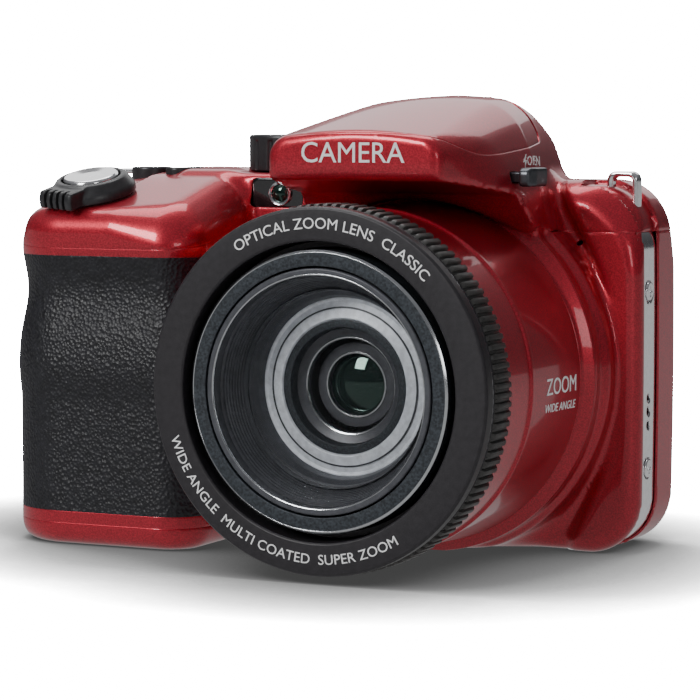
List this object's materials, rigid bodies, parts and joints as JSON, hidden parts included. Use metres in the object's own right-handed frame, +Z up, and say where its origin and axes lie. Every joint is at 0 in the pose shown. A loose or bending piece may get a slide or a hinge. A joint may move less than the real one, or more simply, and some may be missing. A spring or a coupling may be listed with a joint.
{
  "type": "bridge digital camera",
  "caption": "Compact bridge camera with a rubber-clad grip, extending zoom lens, pop-up flash lid, mode dial, rear screen and hinged battery door.",
  "frame": {"origin": "centre of the bounding box at the base, on the surface the camera stands on", "axes": "+X to the camera's lens side (away from the grip), +Y from the lens to the rear screen, +Z up; the lens looks along -Y"},
  "size_m": [0.1194, 0.08, 0.086],
  "materials": {
    "red_body": "metallic red paint under clear gloss lacquer",
    "grip_rubber": "black leather-grain moulded rubber",
    "black_plastic": "matt black moulded plastic",
    "ring_black": "satin black paint",
    "knurl_grey": "fine ribbed dark rubber",
    "chrome_trim": "polished chrome plate",
    "steel": "plain steel",
    "aluminium": "machined aluminium",
    "brass": "plain brass",
    "glass": "coated optical glass",
    "board_green": "solder-masked board",
    "screen_glass": "clear hard-coated window over black",
    "battery_wrap": "printed battery wrap"
  },
  "bodies": {
    "casing": {"front_shell": "red_body", "rear_shell": "red_body", "top_cover": "red_body", "grip_rubber": "grip_rubber", "grip_cap": "red_body", "thumb_rest": "grip_rubber", "side_trim_left": "chrome_trim", "side_trim_right": "chrome_trim", "case_screws": "chrome_trim", "strap_lugs": "chrome_trim", "lens_skirt": "red_body", "knurled_ring": "knurl_grey", "lens_front_ring": "ring_black", "guide_tube": "ring_black", "guide_rods": "steel", "iris_unit": "black_plastic", "lens_base_plate": "aluminium", "image_sensor": "black_plastic", "zoom_motor": "steel", "chassis_frame": "aluminium", "main_board": "board_green", "button_board": "board_green", "tripod_bush": "brass", "battery": "battery_wrap", "battery_holder": "black_plastic", "memory_card": "black_plastic", "card_socket": "steel", "door_hinge_pin": "steel", "usb_socket": "steel", "lcd_module": "black_plastic", "lcd_window": "screen_glass", "flash_hinge_pin": "steel", "af_window": "screen_glass"},
    "lens_stage_1": {"lens_stage_1": "ring_black"},
    "lens_stage_2": {"lens_stage_2": "ring_black", "front_element": "glass", "lens_baffle": "ring_black"},
    "cam_ring": {"cam_ring": "aluminium"},
    "zoom_pinion": {"zoom_pinion": "brass"},
    "variator": {"variator_holder": "black_plastic", "variator_glass": "glass"},
    "focus_group": {"focus_group": "black_plastic"},
    "battery_door": {"battery_door": "red_body"},
    "battery_lock": {"battery_lock": "black_plastic"},
    "port_door": {"port_door": "grip_rubber"},
    "nav_pad": {"nav_pad": "black_plastic"},
    "set_button": {"set_button": "black_plastic"},
    "play_button": {"play_button": "black_plastic"},
    "menu_button": {"menu_button": "black_plastic"},
    "info_button": {"info_button": "black_plastic"},
    "record_button": {"record_button": "black_plastic"},
    "mode_dial": {"mode_dial": "black_plastic"},
    "zoom_lever": {"zoom_lever": "black_plastic"},
    "shutter_button": {"shutter_button": "chrome_trim"},
    "power_button": {"power_button": "black_plastic"},
    "burst_button": {"burst_button": "black_plastic"},
    "exposure_button": {"exposure_button": "black_plastic"},
    "flash_lid": {"flash_lid": "red_body", "flash_head": "glass"},
    "flash_release": {"flash_release": "black_plastic"}
  },
  "joints": [
    {"name": "zoom_out", "type": "slide", "parent": "casing", "child": "lens_stage_1", "axis": [0, -1, 0], "range_m": [0, 0.018]},
    {"name": "second_stage_out", "type": "slide", "parent": "lens_stage_1", "child": "lens_stage_2", "axis": [0, -1, 0], "range_m": [0, 0.0181]},
    {"name": "cam_turn", "type": "hinge", "parent": "casing", "child": "cam_ring", "pos_m": [0.02, 0, 0.0337], "axis": [0, 1, 0], "range_deg": [-0.5, 60.5]},
    {"name": "pinion_turn", "type": "hinge", "parent": "casing", "child": "zoom_pinion", "pos_m": [0.00847, 0, 0.06537], "axis": [0, 1, 0], "range_deg": [-361, 1]},
    {"name": "variator_back", "type": "slide", "parent": "casing", "child": "variator", "axis": [0, 1, 0], "range_m": [-0.0001, 0.0142]},
    {"name": "focus_travel", "type": "slide", "parent": "casing", "child": "focus_group", "axis": [0, 1, 0], "range_m": [-0.003, 0.003]},
    {"name": "battery_door_open", "type": "hinge", "parent": "casing", "child": "battery_door", "pos_m": [-0.0216, 0, 0.0015], "axis": [0, -1, 0], "range_deg": [0, 95]},
    {"name": "battery_lock_slide", "type": "slide", "parent": "battery_door", "child": "battery_lock", "axis": [1, 0, 0], "range_m": [0, 0.003]},
    {"name": "port_door_open", "type": "hinge", "parent": "casing", "child": "port_door", "pos_m": [-0.05855, 0.0282, 0], "axis": [0, 0, 1], "range_deg": [0, 100]},
    {"name": "nav_pad_rock", "type": "hinge", "parent": "casing", "child": "nav_pad", "pos_m": [-0.0395, 0.0345, 0.022], "axis": [1, 0, 0], "range_deg": [-2, 2], "stiffness_Nm_per_rad": 0.05},
    {"name": "set_press", "type": "slide", "parent": "casing", "child": "set_button", "axis": [0, -1, 0], "range_m": [0, 0.0004], "stiffness_N_per_m": 300, "springref_m": -0.0005},
    {"name": "play_press", "type": "slide", "parent": "casing", "child": "play_button", "axis": [0, -1, 0], "range_m": [0, 0.0004], "stiffness_N_per_m": 300, "springref_m": -0.0005},
    {"name": "menu_press", "type": "slide", "parent": "casing", "child": "menu_button", "axis": [0, -1, 0], "range_m": [0, 0.0004], "stiffness_N_per_m": 300, "springref_m": -0.0005},
    {"name": "info_press", "type": "slide", "parent": "casing", "child": "info_button", "axis": [0, -1, 0], "range_m": [0, 0.0004], "stiffness_N_per_m": 300, "springref_m": -0.0005},
    {"name": "record_press", "type": "slide", "parent": "casing", "child": "record_button", "axis": [0, -1, 0], "range_m": [0, 0.0004], "stiffness_N_per_m": 300, "springref_m": -0.0005},
    {"name": "mode_dial_turn", "type": "hinge", "parent": "casing", "child": "mode_dial", "pos_m": [-0.014, 0.02, 0.0713], "axis": [0, 0, 1], "continuous": true},
    {"name": "zoom_lever_turn", "type": "hinge", "parent": "casing", "child": "zoom_lever", "pos_m": [-0.043, -0.008, 0.0663], "axis": [0, -0.2756, 0.9613], "range_deg": [-25, 25], "stiffness_Nm_per_rad": 0.02},
    {"name": "shutter_press", "type": "slide", "parent": "casing", "child": "shutter_button", "axis": [0, 0.2756, -0.9613], "range_m": [0, 0.0012], "stiffness_N_per_m": 300, "springref_m": -0.0005},
    {"name": "power_press", "type": "slide", "parent": "casing", "child": "power_button", "axis": [0, 0, -1], "range_m": [0, 0.0005], "stiffness_N_per_m": 300, "springref_m": -0.0005},
    {"name": "burst_press", "type": "slide", "parent": "casing", "child": "burst_button", "axis": [0, 0, -1], "range_m": [0, 0.0005], "stiffness_N_per_m": 300, "springref_m": -0.0005},
    {"name": "exposure_press", "type": "slide", "parent": "casing", "child": "exposure_button", "axis": [0, 0, -1], "range_m": [0, 0.0005], "stiffness_N_per_m": 300, "springref_m": -0.0005},
    {"name": "flash_lid_open", "type": "hinge", "parent": "casing", "child": "flash_lid", "pos_m": [0.02, 0.0222, 0.084], "axis": [-1, 0, 0], "range_deg": [0, 55]},
    {"name": "flash_release_slide", "type": "slide", "parent": "casing", "child": "flash_release", "axis": [0, 1, 0], "range_m": [0, 0.0025], "stiffness_N_per_m": 200, "springref_m": -0.001}
  ],
  "couplings": [
    {"joint": "second_stage_out", "follows": "zoom_out", "ratio": 1},
    {"joint": "cam_turn", "follows": "zoom_out", "rad_per_m": 58.178},
    {"joint": "pinion_turn", "follows": "zoom_out", "rad_per_m": -349.07},
    {"joint": "variator_back", "follows": "zoom_out", "ratio": 0.78}
  ]
}
